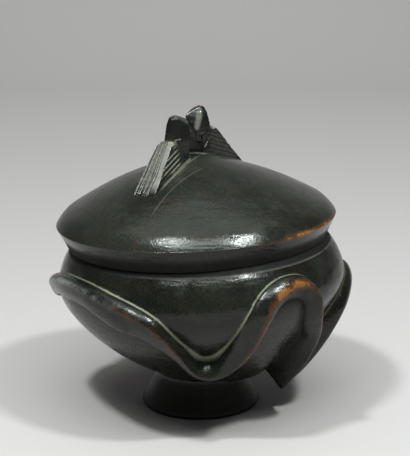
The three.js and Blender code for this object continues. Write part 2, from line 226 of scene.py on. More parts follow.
LEDGE_HEIGHT = 1.1
LEDGE_GROOVE_DEPTH = 0.5
BACK_STRIPS = 6
STRIP_SHARE = 0.72
FLANK_SPACING = 3.0
FEATHER_DEPTH = 1.1
FLANK_DEPTH_SHARE = 0.5
FEATHER_SHARPNESS = 1.7

# Colours of the finish: the wood itself, what lies on it, where it is worn, and painted shade and
# highlights
BOWL_HUE = (0.0072, 0.0075, 0.0054, 1)
LID_HUE = (0.0100, 0.0105, 0.0085, 1)
BLOOM = (0.025, 0.030, 0.024, 1)
PITCH = (0.003, 0.003, 0.0024, 1)
# painted shade: at the seam under the lid, on the lid's lower bevel, on the foot and under the band's
# second crest
SHADE_PAINT = (0.0035, 0.0033, 0.0026, 1)
# painted shade in the birds' feather grooves and over their heads, necks and flanks
GROOVE_SHADE = (0.008, 0.008, 0.0075, 1)
SPECK = (0.12, 0.11, 0.09, 1)
DUST = (0.26, 0.26, 0.195, 1)
DUST_FILM = (0.09, 0.10, 0.08, 1)
LINE = (0.20, 0.165, 0.15, 1)
COLLAR = (0.11, 0.105, 0.06, 1)
SCRATCHED = (0.13, 0.14, 0.12, 1)
# pale dust and rubbing on the birds, partly painted light on faces turned up
PALE_WING_DUST_AND_SHEEN = (0.34, 0.32, 0.285, 1)
# painted highlight along the band's ridge
RIDGE_HIGHLIGHT_PAINT = (0.26, 0.275, 0.265, 1)
WORN_RED = (0.075, 0.028, 0.012, 1)
WORN_ORANGE = (0.235, 0.095, 0.022, 1)

# Mesh density, and which folds count as corners
BOWL_COLUMNS = 320
BOWL_ROW = 1.25
LID_COLUMNS = 320
BAND_POINTS = 480
BAND_SOFTENING = 4
BAND_SECTION_POINTS = 32
FOOT_COLUMNS = 200
CREASE_ANGLE = radians(20)
LID_CREASE_ANGLE = radians(24)
CREASE_REACH = 6.5
HANDLE_VOXEL = 0.45
LID_ROW = 1.5
LID_FINE_ROW = 0.9
LID_FINE_RADIUS = 66

# Floor and backdrop
FLOOR_FRONT = -3.0
FLOOR_BEND_START = 1.6
FLOOR_BEND_RADIUS = 0.9
FLOOR_HALF_WIDTH = 4
BACKDROP_HEIGHT = 4.0
FLOOR_COLOUR = (0.475, 0.442, 0.45, 1)
FLOOR_ROUGHNESS = 0.9

# Lamps: what each is aimed at, its azimuth from the front to the right and its elevation in
# degrees, how far off it is, its width and depth, and its radiance.
BOWL_MIDDLE = (0, 0, 0.12)
BACKDROP_MIDDLE = (0, 2.2, 0.5)
LAMPS = {
    "key_left": (BOWL_MIDDLE, -40, 63, 1.6, (0.16, 0.13), 268),
    "key_right": (BOWL_MIDDLE, 49, 57, 1.6, (0.16, 0.13), 240),
    "front_strip": (BOWL_MIDDLE, 8, 60, 1.7, (1.5, 0.4), 7.0),
    "ceiling": (BOWL_MIDDLE, 0, 86, 2.2, (2.4, 2.4), 1.25),
    "backdrop_wash": (BACKDROP_MIDDLE, 0, 50, 1.2, (2.4, 0.5), 2.3),
}
LAMP_COLOUR = (0.92, 1.0, 0.965)
SURROUNDING_COLOUR = (0.97, 1.0, 0.98, 1)
SURROUNDING_STRENGTH = 0.08


def linked(name, data):
    """A new object in the scene, from a mesh, a lamp or a camera."""
    thing = bpy.data.objects.new(name, data)
    bpy.context.collection.objects.link(thing)
    return thing


def object_from(shape, name):
    """An object from a bmesh, which is used up."""
    mesh = bpy.data.meshes.new(name)
    shape.to_mesh(mesh)
    shape.free()
    return linked(name, mesh)


def set_camera():
    """The camera stands where the photograph was taken from."""
    elevation = radians(14.28)
    roll = radians(0.35)
    distance = 939.2
    aim = Vector((4.0, 0, 130.45))
    focal_length_in_pixels = 1307.0
    picture_height = 456
    sensor_height = 36
    back = Vector((0, -cos(elevation), sin(elevation)))
    level = Vector((1, 0, 0))
    upright = Vector((0, sin(elevation), cos(elevation)))
    right = cos(roll) * level - sin(roll) * upright
    up = sin(roll) * level + cos(roll) * upright
    place = (aim + back * distance) * MM
    data = bpy.data.cameras.new("camera")
    # Blender lays the sensor's width along a picture's longer side, which here is its height.
    data.sensor_width = sensor_height
    data.lens = focal_length_in_pixels * sensor_height / picture_height
    camera = linked("camera", data)
    turn = Matrix((right, up, back)).transposed().to_4x4()
    camera.matrix_world = Matrix.Translation(place) @ turn
    bpy.context.scene.camera = camera


def lean(points, offset):
    """Points of an upright bowl or lid, moved to where they are when it leans over the foot."""
    x = points[:, 0] + offset
    z = points[:, 2] - LEAN_PIVOT_HEIGHT
    leant = [cos(LEAN) * x - sin(LEAN) * z, points[:, 1]]
    return np.stack([*leant, LEAN_PIVOT_HEIGHT + sin(LEAN) * x + cos(LEAN) * z], 1)


def unlean(points, offset):
    """The opposite of lean."""
    x = points[:, 0]
    z = points[:, 2] - LEAN_PIVOT_HEIGHT
    upright = [cos(LEAN) * x + sin(LEAN) * z - offset, points[:, 1]]
    return np.stack([*upright, LEAN_PIVOT_HEIGHT - sin(LEAN) * x + cos(LEAN) * z], 1)


def quarter_curve(share):
    return (1 - share ** BOWL_CURVE_POWER) ** (1 / BOWL_CURVE_POWER)


def bowl_radius(height):
    if height >= WIDEST_HEIGHT:
        share = min(1, (height - WIDEST_HEIGHT) / (RIM_ARRIS_HEIGHT - WIDEST_HEIGHT))
        return RIM_ARRIS_RADIUS + (BOWL_RADIUS - RIM_ARRIS_RADIUS) * quarter_curve(share)
    share = min(1, (WIDEST_HEIGHT - height) / BELLY_DEPTH)
    return BOWL_RADIUS * quarter_curve(share)


def inner_radius(height):
    if height >= WIDEST_HEIGHT:
        share = (height - WIDEST_HEIGHT) / (RIM_HEIGHT - WIDEST_HEIGHT)
        widening = BOWL_RADIUS - BOWL_WALL_THICKNESS - MOUTH_RADIUS
        return MOUTH_RADIUS + widening * quarter_curve(min(1, share))
    share = (WIDEST_HEIGHT - height) / (WIDEST_HEIGHT - BOWL_FLOOR_HEIGHT)
    return (BOWL_RADIUS - BOWL_WALL_THICKNESS) * quarter_curve(min(1, share))


def outward(point, share):
    """The way out of the bowl's wall at a point. Share 1 is square to the wall, 0 is level."""
    step = 0.5
    widening = bowl_radius(point[2] + step) - bowl_radius(point[2] - step)
    dip = atan2(-widening, 2 * step) * share
    length = hypot(point[0], point[1]) or 1
    return np.array([point[0] / length * cos(dip), point[1] / length * cos(dip), sin(dip)])


def on_bowl(angle, height):
    radius = bowl_radius(height)
    return np.array([radius * sin(radians(angle)), -radius * cos(radians(angle)), height])


def eased(start, end, steps):
    """Heights from start to end, closest together at the end, where the curve turns."""
    return start + (end - start) * np.sin(np.linspace(0, pi / 2, steps + 1))


def spaced(points, step):
    """The same outline with its points a step apart."""
    points = np.array(points, float)
    run = np.concatenate([[0], np.cumsum(np.linalg.norm(np.diff(points, axis=0), axis=1))])
    count = max(2, round(run[-1] / step) + 1)
    at = np.linspace(0, run[-1], count)
    return np.stack([np.interp(at, run, points[:, k]) for k in range(points.shape[1])], 1)


def eased_over(points, rounds):
    """The same outline with its sharpest bends softened, its ends kept."""
    soft = points.copy()
    for _ in range(rounds):
        soft[1:-1] = (soft[:-2] + 2 * soft[1:-1] + soft[2:]) / 4
    return soft


def new_object(name, verts, faces, in_triangles=False):
    """An object from points in millimetres and faces of point numbers."""
    shape = bmesh.new()
    made = [shape.verts.new(vert) for vert in (np.asarray(verts) * MM).tolist()]
    for face in faces:
        shape.faces.new([made[index] for index in face])
    bmesh.ops.recalc_face_normals(shape, faces=shape.faces)
    if in_triangles:
        bmesh.ops.triangulate(shape, faces=shape.faces)
    return object_from(shape, name)


def revolve(name, outline, columns, place):
    """A closed solid turned from (radius, height) pairs that start and end on the axis."""
    turns = np.arange(columns) * 2 * pi / columns
    rings = []
    for radius, height in outline[1:-1]:
        level = np.full(columns, height)
        rings.append(np.stack([radius * np.sin(turns), -radius * np.cos(turns), level], 1))
    verts = [np.array([[0, 0, outline[0][1]]]), *rings, np.array([[0, 0, outline[-1][1]]])]
    verts = place(np.concatenate(verts))
    last = len(verts) - 1
    faces = []
    for k in range(columns):
        after = (k + 1) % columns
        faces.append((0, 1 + k, 1 + after))
        for ring in range(len(rings) - 1):
            start = 1 + ring * columns
            faces.append((start + k, start + columns + k, start + columns + after, start + after))
        start = 1 + (len(rings) - 1) * columns
        faces.append((start + k, last, start + after))
    return new_object(name, verts, faces)


def prism(name, outline, depth, seen_from):
    """A closed solid from an outline of pairs, drawn out along one of the handle's ways. Seen from
    the side the pairs are (reach, height), and from the end they are (offset, height)."""
    count = len(outline)
    verts = []
    for drawn in (-depth / 2, depth / 2):
        for first, second in outline:
            verts.append((first, drawn, second) if seen_from == "side" else (drawn, first, second))
    faces = [tuple(range(count)), tuple(range(2 * count - 1, count - 1, -1))]
    for k in range(count):
        after = (k + 1) % count
        faces.append((k, after, count + after, count + k))
    return new_object(name, verts, faces, in_triangles=True)


def discard(thing):
    mesh = thing.data
    bpy.data.objects.remove(thing)
    bpy.data.meshes.remove(mesh)


def settled(thing):
    """Turns an object's modifiers into plain mesh."""
    bpy.context.view_layer.update()
    graph = bpy.context.evaluated_depsgraph_get()
    mesh = bpy.data.meshes.new_from_object(thing.evaluated_get(graph))
    old = thing.data
    thing.modifiers.clear()
    thing.data = mesh
    mesh.name = thing.name
    bpy.data.meshes.remove(old)
    return thing


def combined(first, second, operation):
    """One solid from two, by a Boolean that needs both to be closed."""
    step = first.modifiers.new("join", "BOOLEAN")
    step.operation = operation
    step.solver = "MANIFOLD"
    step.object = second
    settled(first)
    discard(second)
    return first


def positions(mesh):
    """The mesh's points in millimetres."""
    flat = np.empty(len(mesh.vertices) * 3)
    mesh.vertices.foreach_get("co", flat)
    return flat.reshape(-1, 3) / MM


def place_points(mesh, points):
    mesh.vertices.foreach_set("co", (points * MM).ravel())
    mesh.update()


def normals(mesh):
    flat = np.empty(len(mesh.vertices) * 3)
    mesh.vertex_normals.foreach_get("vector", flat)
    return flat.reshape(-1, 3)


def edge_ends(mesh):
    flat = np.empty(len(mesh.edges) * 2, int)
    mesh.edges.foreach_get("vertices", flat)
    return flat.reshape(-1, 2)


def hollow_creases(thing, least_angle):
    """The points on edges where the surface folds inwards by at least an angle."""
    shape = bmesh.new()
    shape.from_mesh(thing.data)
    found = set()
    for edge in shape.edges:
        if len(edge.link_faces) == 2 and edge.calc_face_angle_signed(0) < -least_angle:
            found.update(vert.index for vert in edge.verts)
    shape.free()
    return sorted(found)


def relax(mesh, weight, rounds):
    """Draws each point towards the middle of its neighbours, by its own weight."""
    points = positions(mesh)
    ends = edge_ends(mesh)
    degree = np.bincount(ends.ravel(), minlength=len(points))[:, None]
    for _ in range(rounds):
        total = np.zeros_like(points)
        np.add.at(total, ends[:, 0], points[ends[:, 1]])
        np.add.at(total, ends[:, 1], points[ends[:, 0]])
        points += (total / np.maximum(degree, 1) - points) * weight[:, None]
    place_points(mesh, points)


def hand_carved(mesh, depth, size, seed, share):
    """Sinks the surface in shallow, uneven hollows, as a blade leaves it. The share thins them
    out where the surface has to stay true."""
    points = positions(mesh)
    ways = normals(mesh)
    offset = Vector((seed, seed * 2.3, seed * 4.1))
    dips = [noise.noise(Vector(point) / size + offset) for point in points.tolist()]
    amount = depth * (0.5 + 0.5 * np.array(dips)) * share
    place_points(mesh, points - ways * amount[:, None])


def give_values(mesh, name, values):
    layer = mesh.attributes.new(name, "FLOAT", "POINT")
    layer.data.foreach_set("value", np.asarray(values, np.float32))


def smooth_shaded(thing):
    for face in thing.data.polygons:
        face.use_smooth = True


def smooth_step(low, high, values):
    """0 at low, 1 at high, and a soft step between them."""
    share = np.clip((values - low) / (high - low), 0, 1)
    return share * share * (3 - 2 * share)


def fading(gap, spread):
    """1 where there is no gap, fading out over a spread."""
    return np.exp(-(gap / spread) ** 2)


def from_front(points):
    """Angles round the bowl in degrees: 0 at the front, 90 at the right."""
    return np.degrees(np.arctan2(points[:, 0], -points[:, 1]))


def looked_up(table, angle, column=1):
    """What a table that starts with angles gives at others, in straight steps between its rows."""
    rows = np.array(table, float)
    return np.interp(angle, rows[:, 0], rows[:, column])


class Wire:
    """A node's output, on which an arithmetic expression adds Math nodes."""

    def __init__(self, graph, socket):
        self.graph = graph
        self.socket = socket

    def maths(self, operation, *values):
        settings = {"operation": operation}
        node = self.graph.add("ShaderNodeMath", settings, dict(enumerate(values)))
        return Wire(self.graph, node.outputs[0])

    def __add__(self, other):
        return self.maths("ADD", self, other)

    def __radd__(self, other):
        return self.maths("ADD", other, self)

    def __sub__(self, other):
        return self.maths("SUBTRACT", self, other)

    def __rsub__(self, other):
        return self.maths("SUBTRACT", other, self)

    def __mul__(self, other):
        return self.maths("MULTIPLY", self, other)

    def __truediv__(self, other):
        return self.maths("DIVIDE", self, other)

    def __pow__(self, other):
        return self.maths("POWER", self, other)

    def over(self, low, high):
        """0 below low, 1 above high, and a soft step between them."""
        settings = {"interpolation_type": "SMOOTHSTEP"}
        values = {"Value": self, "From Min": low, "From Max": high}
        node = self.graph.add("ShaderNodeMapRange", settings, values)
        return Wire(self.graph, node.outputs["Result"])


class Graph:
    """A node tree, whose nodes all come from add."""

    def __init__(self, tree):
        self.tree = tree

    def add(self, kind, settings=None, values=None):
        node = self.tree.nodes.new(kind)
        for name, setting in (settings or {}).items():
            setattr(node, name, setting)
        for name, value in (values or {}).items():
            if isinstance(value, Wire):
                self.tree.links.new(value.socket, node.inputs[name])
            else:
                node.inputs[name].default_value = value
        return node

    def wire(self, kind, settings=None, values=None, output=0):
        return Wire(self, self.add(kind, settings, values).outputs[output])

    def number(self, name):
        """A number kept on the mesh's points."""
        return self.wire("ShaderNodeAttribute", {"attribute_name": name}, None, "Fac")

    def blend(self, share, first, second):
        """One colour laid over another."""
        settings = {"data_type": "RGBA"}
        return self.wire("ShaderNodeMix", settings, {0: share, 6: first, 7: second}, 2)

    def scratch(self, place):
        """1 on the scratch and 0 beside it."""
        split = self.add("ShaderNodeSeparateXYZ", None, {"Vector": place})
        across_x, across_y = (SCRATCH_END[k] - SCRATCH_START[k] for k in (0, 1))
        length = hypot(across_x, across_y)
        x = Wire(self, split.outputs["X"]) / MM - SCRATCH_START[0]
        y = Wire(self, split.outputs["Y"]) / MM - SCRATCH_START[1]
        along = x * (across_x / length ** 2) + y * (across_y / length ** 2)
        aside = x * (across_y / length) - y * (across_x / length)
        bowed = aside - along * (1.0 - along) * (4 * SCRATCH_BOW)
        gap = bowed.maths("ABSOLUTE", bowed)
        return (1.0 - gap.over(0.1, 0.8)) * along.over(0, 0.1) * (1.0 - along.over(0.8, 1))

    def speckle(self, place, scale, detail, roughness):
        """Noise from 0 to 1: the scale counts its spots in a metre, the detail its finer layers."""
        values = {"Vector": place, "Scale": scale, "Detail": detail, "Roughness": roughness}
        return self.wire("ShaderNodeTexNoise", None, values, "Fac")


class Shaping(Graph):
    """A Geometry Nodes tree."""

    def __init__(self, name, sizes):
        tree = bpy.data.node_groups.new(name, "GeometryNodeTree")
        super().__init__(tree)
        tree.interface.new_socket("Geometry", in_out="OUTPUT", socket_type="NodeSocketGeometry")
        tree.interface.new_socket("Geometry", in_out="INPUT", socket_type="NodeSocketGeometry")
        self.sizes = {}
        for label, kind, value in sizes:
            socket = tree.interface.new_socket(label, in_out="INPUT", socket_type=kind)
            self.sizes[label] = (socket.identifier, value)
        self.inputs = self.add("NodeGroupInput")
        self.outputs = self.add("NodeGroupOutput")

    def given(self, label):
        return Wire(self, self.inputs.outputs[label])

    def stored(self, name, data_type="FLOAT"):
        settings = {"data_type": data_type}
        return self.wire("GeometryNodeInputNamedAttribute", settings, {"Name": name}, "Attribute")

    def scaled(self, vector, amount):
        values = {0: vector, 3: amount}
        return self.wire("ShaderNodeVectorMath", {"operation": "SCALE"}, values, 0)

    def plus(self, first, second):
        return self.wire("ShaderNodeVectorMath", {"operation": "ADD"}, {0: first, 1: second}, 0)

    def finish(self, geometry):
        whole = self.wire("GeometryNodeRealizeInstances", None, {"Geometry": geometry})
        values = {"Geometry": whole, "Material": self.given("Material")}
        clad = self.wire("GeometryNodeSetMaterial", None, values)
        self.tree.links.new(clad.socket, self.outputs.inputs[0])

    def run_on(self, thing):
        step = thing.modifiers.new(self.tree.name, "NODES")
        step.node_group = self.tree
        for identifier, value in self.sizes.values():
            step[identifier] = value
        return settled(thing)


def bowl_outline():
    """The bowl's outside and inside, as one closed profile from below."""
    outside = [(bowl_radius(z), z) for z in eased(WIDEST_HEIGHT, WIDEST_HEIGHT - BELLY_DEPTH, 160)]
    shoulder = [(bowl_radius(z), z) for z in eased(WIDEST_HEIGHT, RIM_ARRIS_HEIGHT, 60)[1:]]
    outside = eased_over(spaced(outside[::-1] + shoulder, BOWL_ROW), 24)
    mouth = [(inner_radius(z), z) for z in eased(WIDEST_HEIGHT, RIM_HEIGHT, 12)]
    inside = [(inner_radius(z), z) for z in eased(WIDEST_HEIGHT, BOWL_FLOOR_HEIGHT, 40)]
    inside = eased_over(spaced(mouth[::-1] + inside[1:], 5), 2)
    return [*outside.tolist(), (RIM_TOP_RADIUS, RIM_HEIGHT), *inside.tolist()]


def filled_out(points):
    """The belly is fuller low down on the right, beside the band's deepest dip."""
    moved = points.copy()
    for index, point in enumerate(points):
        if point[2] > WIDEST_HEIGHT or hypot(point[0], point[1]) < bowl_radius(point[2]) - 2:
            continue
        aside = (degrees(atan2(point[0], -point[1])) - FULLNESS_ANGLE) / FULLNESS_SPREAD
        above = (point[2] - FULLNESS_HEIGHT) / FULLNESS_REACH
        amount = FULLNESS_DEPTH * exp(-aside ** 2 - above ** 2)
        moved[index] = point + outward(point, 1) * amount
    return moved


def through(points, count):
    """A closed curve through rows that start with x, y, z, resampled at even steps along it."""
    points = np.array(points, float)
    total, columns = points.shape
    dense = []
    for index in range(total):
        near = [points[(index + k - 1) % total] for k in range(4)]
        gaps = [np.linalg.norm(near[k + 1][:3] - near[k][:3]) ** 0.5 for k in range(3)]
        knots = np.concatenate([[0], np.cumsum(gaps)])
        t = np.linspace(knots[1], knots[2], 60, endpoint=False)[:, None]
        rows = [np.repeat(point[None], len(t), 0) for point in near]
        for depth in (1, 2, 3):
            for k in range(4 - depth):
                low, high = (knots[k], knots[k + depth]) if depth < 3 else (knots[1], knots[2])
                rows[k] = (rows[k] * (high - t) + rows[k + 1] * (t - low)) / (high - low)
        dense.append(rows[0])
    dense = np.concatenate([*dense, points[:1]])
    run = np.concatenate([[0], np.cumsum(np.linalg.norm(np.diff(dense[:, :3], axis=0), axis=1))])
    at = np.linspace(0, run[-1], count, endpoint=False)
    return np.stack([np.interp(at, run, dense[:, k]) for k in range(columns)], 1)


def band_path():
    """The band's middle line on the wall. At each point it has the way out of the wall, the way
    down across the band, the half width, how far the band stands proud, where its ridge lies
    across it, how far the point is down towards the deepest dip, and how far the band's lower side
    sags and its upper side is cut back."""
    marks = []
    for angle, share, width, ridge in BAND_PATH:
        spot = on_bowl(angle, WIDEST_HEIGHT + share * BELLY_DEPTH)
        marks.append([*spot, width * BAND_HALF_WIDTH, ridge])
    sharp = through(marks, BAND_POINTS)
    turns = range(-BAND_SOFTENING, BAND_SOFTENING + 1)
    loose = sum(np.roll(sharp, turn, 0) for turn in turns) / len(turns)
    along = np.roll(loose, -1, 0)[:, :3] - np.roll(loose, 1, 0)[:, :3]
    along /= np.linalg.norm(along, axis=1)[:, None]
    names = ("centre", "out", "across", "half_width", "proud", "ridge", "dip", "sag", "trim")
    path = {name: [] for name in names}
    for point, way in zip(loose, along):
        angle = degrees(atan2(point[0], -point[1]))
        centre = on_bowl(angle, point[2])
        out = outward(centre, BAND_DIP_FOLLOW)
        out -= way * out.dot(way)
        out /= np.linalg.norm(out)
        dip = max(0, (centre[2] - WIDEST_HEIGHT) / BELLY_DEPTH / DEEPEST_DIP)
        extra = (BAND_DIP_PROUD_HEIGHT - BAND_PROUD_HEIGHT) * dip ** BAND_PROUD_POWER
        path["centre"].append(centre)
        path["out"].append(out)
        path["across"].append(np.cross(way, out))
        path["half_width"].append(point[3])
        path["proud"].append(BAND_PROUD_HEIGHT + extra)
        path["ridge"].append(point[4])
        path["dip"].append(dip)
        path["sag"].append(looked_up(BAND_SAG, angle))
        path["trim"].append(looked_up(BAND_TRIM, angle))
    return {name: np.array(values) for name, values in path.items()}


def sweep_tree():
    """Sweeps a ridged section along a path whose points know how they face."""
    number = "NodeSocketFloat"
    tree = Shaping("carved band", [
        ("Section Points", "NodeSocketInt", BAND_SECTION_POINTS),
        ("Root Share", number, BAND_ROOT_SHARE),
        ("Root Depth", number, BAND_ROOT_DEPTH * MM),
        ("Ridge Roundness", number, BAND_RIDGE_ROUNDNESS),
        ("Ridge Fullness", number, BAND_RIDGE_FULLNESS),
        ("Dip Roundness", number, BAND_DIP_ROUNDNESS),
        ("Dip Fullness", number, BAND_DIP_FULLNESS),
        ("Material", "NodeSocketMaterial", None),
    ])
    path = tree.wire("GeometryNodeMeshToCurve", None, {"Mesh": tree.given("Geometry")})
    count = tree.given("Section Points")
    settings = {"mode": "RADIUS"}
    section = tree.wire("GeometryNodeCurvePrimitiveCircle", settings, {"Resolution": count})
    place = tree.wire("GeometryNodeInputIndex") / count
    face_share = 1.0 - tree.given("Root Share")
    front = place.maths("MINIMUM", place / face_share, 1.0)
    root = place.maths("MAXIMUM", place - face_share, 0.0) / tree.given("Root Share")
    values = {"Geometry": section, "Name": "turn", "Value": (front + root) * pi}
    marked = tree.wire("GeometryNodeStoreNamedAttribute", {"data_type": "FLOAT"}, values)
    values = {"Curve": path, "Profile Curve": marked}
    swept = tree.wire("GeometryNodeCurveToMesh", None, values)
    turn = tree.stored("turn")
    swing = turn.maths("COSINE", turn)
    off_ridge = swing.maths("ABSOLUTE", swing)
    side = swing + tree.stored("ridge") * (1.0 - off_ridge)
    lift = turn.maths("SINE", turn)
    dip = tree.stored("dip")
    roundness = tree.given("Ridge Roundness") * (1.0 - dip) + tree.given("Dip Roundness") * dip
    fullness = tree.given("Ridge Fullness") * (1.0 - dip) + tree.given("Dip Fullness") * dip
    height = side.maths("MAXIMUM", 1.0 - off_ridge ** roundness, 0.0) ** fullness
    shown = lift.maths("GREATER_THAN", lift, 0.0001)
    below = lift.maths("MINIMUM", lift, 0.0) * tree.given("Root Depth")
    rise = height * tree.stored("proud") * shown + below
    lower = swing.maths("MAXIMUM", swing, 0.0) * tree.stored("sag")
    upper = swing.maths("MINIMUM", swing, 0.0) * tree.stored("trim")
    reach = side * tree.stored("half_width") + lower - upper
    aside = tree.scaled(tree.stored("across", "FLOAT_VECTOR"), reach)
    up = tree.scaled(tree.stored("out", "FLOAT_VECTOR"), rise)
    spot = tree.plus(tree.stored("centre", "FLOAT_VECTOR"), tree.plus(aside, up))
    values = {"Geometry": swept, "Position": spot}
    tree.finish(tree.wire("GeometryNodeSetPosition", None, values))
    return tree


def carved_band(path):
    shape = bmesh.new()
    spots = [shape.verts.new(point) for point in (path["centre"] * MM).tolist()]
    for index, spot in enumerate(spots):
        shape.edges.new((spot, spots[(index + 1) % len(spots)]))
    thing = object_from(shape, "band")
    mesh = thing.data
    for name, scale in (("centre", MM), ("out", 1), ("across", 1)):
        layer = mesh.attributes.new(name, "FLOAT_VECTOR", "POINT")
        layer.data.foreach_set("vector", (path[name] * scale).astype(np.float32).ravel())
    for name in ("half_width", "proud", "sag", "trim"):
        give_values(mesh, name, path[name] * MM)
    for name in ("ridge", "dip"):
        give_values(mesh, name, path[name])
    sweep_tree().run_on(thing)
    shape = bmesh.new()
    shape.from_mesh(thing.data)
    bmesh.ops.recalc_face_normals(shape, faces=shape.faces)
    shape.to_mesh(thing.data)
    shape.free()
    return thing


def foot_outline():
    flare = []
    for share in np.linspace(0, 1, 12):
        spread = (FOOT_BASE_RADIUS - FOOT_WAIST_RADIUS) * (1 - share) ** FOOT_FLARE_POWER
        height = FOOT_TOE_HEIGHT + share * (FOOT_HEIGHT - FOOT_TOE_HEIGHT)
        flare.append((FOOT_WAIST_RADIUS + spread, height))
    top = FOOT_HEIGHT + FOOT_ROOT_HEIGHT
    side = [(FOOT_BASE_RADIUS - FOOT_TOE_ROUND, 0), (FOOT_BASE_RADIUS, FOOT_TOE_ROUND), *flare]
    side = eased_over(spaced([*side, (FOOT_WAIST_RADIUS, top)], 1), 4)
    under = [(0, 0), (FOOT_BASE_RADIUS / 2, 0)]
    return [*under, *side.tolist(), (FOOT_WAIST_RADIUS / 2, top), (0, top)]


def nearest(points, targets):
    """For each point, the number of its nearest target and how far that is."""
    tree = KDTree(len(targets))
    for index, target in enumerate(targets.tolist()):
        tree.insert(target, index)
    tree.balance()
    found = [tree.find(point)[1:] for point in points.tolist()]
    return np.array([index for index, _ in found]), np.array([gap for _, gap in found])


def bowl_creases(bowl, points):
    """The points in the corners between the band or the foot and the wall."""
    creases = []
    for index in hollow_creases(bowl, CREASE_ANGLE):
        off_wall = hypot(points[index][0], points[index][1]) - bowl_radius(points[index][2])
        if points[index][2] < RIM_ARRIS_HEIGHT - 1 and off_wall < CREASE_REACH:
            creases.append(index)
    return creases


def bowl_values(points, creases, path):
    """What the bowl's finish needs to know at each point: how far it is from a corner and how dusty
    that is, the line, the painted highlight along the band's ridge, the painted shade and the bare
    wood."""
    near, gap = nearest(points, creases)
    middle = path["centre"] + path["across"] * ((path["sag"] + path["trim"]) / 2)[:, None]
    way = creases - middle[nearest(creases, middle)[0]]
    upness = way[:, 2] / np.maximum(np.linalg.norm(way, axis=1), 1)
    upness = np.where(creases[:, 2] < FOOT_ROOT_HEIGHT + FOOT_HEIGHT, -1, upness)
    crease_angle = from_front(creases)
    dusty = smooth_step(-0.15, 0.35, upness) * looked_up(BAND_DUST, crease_angle)

    ridge = path["centre"] + path["out"] * path["proud"][:, None]
    ridge += path["across"] * (path["ridge"] * path["half_width"])[:, None]
    ridge += path["across"] * (0.4 * path["sag"] * (1 - np.abs(path["ridge"])))[:, None]
    ridge_near, ridge_gap = nearest(points, ridge)
    ridge_angle = from_front(ridge)[ridge_near]
    wear_width = looked_up(BAND_WEAR, ridge_angle, 2)
    radius = np.hypot(points[:, 0], points[:, 1])
    on_outside = smooth_step(RIM_TOP_RADIUS - 2, RIM_TOP_RADIUS, radius)

    height = points[:, 2]
    # Painted shade: dark and rough between the shoulder line and the lid, low down on the foot under
    # the bowl, and in the hollow under the band's second crest.
    rim_shade = 0.9 * smooth_step(SHOULDER_LINE_HEIGHT - 0.4, SHOULDER_LINE_HEIGHT + 1.4, height)
    foot_shade = 0.4 * (1 - smooth_step(FOOT_HEIGHT - 2, FOOT_HEIGHT + 6, height))
    hollow = looked_up(HOLLOW_SHADE, crease_angle) * smooth_step(0.1, -0.3, upness)
    painted_shade = np.maximum(np.maximum(rim_shade, foot_shade), hollow[near] * fading(gap, 3.5))
    return {
        "crevice": gap / looked_up(BAND_DUST, crease_angle, 2)[near],
        "dusty": dusty[near],
        "line": looked_up(SHOULDER_LINE, from_front(points)) * on_outside,
        # painted highlight along the band's ridge on the left
        "ridge_highlight": looked_up(BAND_PAINTED_HIGHLIGHT, ridge_angle) * fading(ridge_gap, PAINTED_HIGHLIGHT_SPREAD),
        "painted_shade": painted_shade,
        "wear": looked_up(BAND_WEAR, ridge_angle) * fading(ridge_gap, wear_width),
    }


def make_bowl():
    path = band_path()
    bowl = revolve("carved_bowl", bowl_outline(), BOWL_COLUMNS, filled_out)
    combined(bowl, carved_band(path), "UNION")
    place_points(bowl.data, lean(positions(bowl.data), BOWL_OFFSET))
    combined(bowl, revolve("foot", foot_outline(), FOOT_COLUMNS, lambda points: points), "UNION")
    leaning = positions(bowl.data)
    creases = bowl_creases(bowl, unlean(leaning, BOWL_OFFSET))
    gap = nearest(leaning, leaning[creases])[1]
    relax(bowl.data, weight=np.clip(1 - gap / 2.4, 0, 1) * 0.6, rounds=5)
    points = unlean(positions(bowl.data), BOWL_OFFSET)
    values = bowl_values(points, points[creases], path)
    seam_distance = RIM_ARRIS_HEIGHT - points[:, 2]
    away_from_seam = smooth_step(0.7, 3.2, seam_distance)
    hand_carved(bowl.data, depth=0.35, size=28, seed=3, share=away_from_seam)
    hand_carved(bowl.data, depth=0.2, size=7, seed=7, share=away_from_seam)
    for name, value in values.items():
        give_values(bowl.data, name, value)
    smooth_shaded(bowl)
    return bowl


def dome_height(radius):
    rise = DOME_RISE * (1 - (radius / LID_RADIUS) ** DOME_POWER)
    swell = CROWN_SWELL_HEIGHT * exp(-(radius / CROWN_SWELL_RADIUS) ** 2)
    bend = max(0, (radius - LID_RADIUS) / LID_EDGE_ROUND_WIDTH + 1)
    return LID_EDGE_HEIGHT + LID_EDGE_ROUND_HEIGHT * (1 - bend ** 2) + rise + swell


def lid_outline():
    hollow_radius = FLANGE_RADIUS - FLANGE_THICKNESS
    hollow = [(r, dome_height(r) - LID_THICKNESS) for r in np.linspace(0, hollow_radius, 24)]
    end = LID_SEAT_HEIGHT - FLANGE_DEPTH
    under = [
        (hollow_radius, end + FLANGE_CHAMFER),
        (hollow_radius + FLANGE_CHAMFER, end),
        (FLANGE_RADIUS - FLANGE_CHAMFER, end),
        (FLANGE_RADIUS, end + FLANGE_CHAMFER),
        (FLANGE_RADIUS, LID_SEAT_HEIGHT),
    ]
    bevel = spaced([(LID_SEAT_RADIUS, LID_SEAT_HEIGHT), (LID_RADIUS - 0.1, LID_EDGE_HEIGHT - 0.4)], 2)
    turns = np.linspace(pi / 2, 0, 16)
    edge = [LID_RADIUS - LID_EDGE_ROUND_WIDTH * (1 - sin(turn)) for turn in turns]
    coarse = np.arange(edge[-1] - LID_ROW, LID_FINE_RADIUS, -LID_ROW)
    fine = np.arange(LID_FINE_RADIUS, 0, -LID_FINE_ROW)
    above = [(r, dome_height(r)) for r in (*edge, *coarse, *fine)]
    return [*hollow, *under, *bevel.tolist(), *above, (0, dome_height(0))]


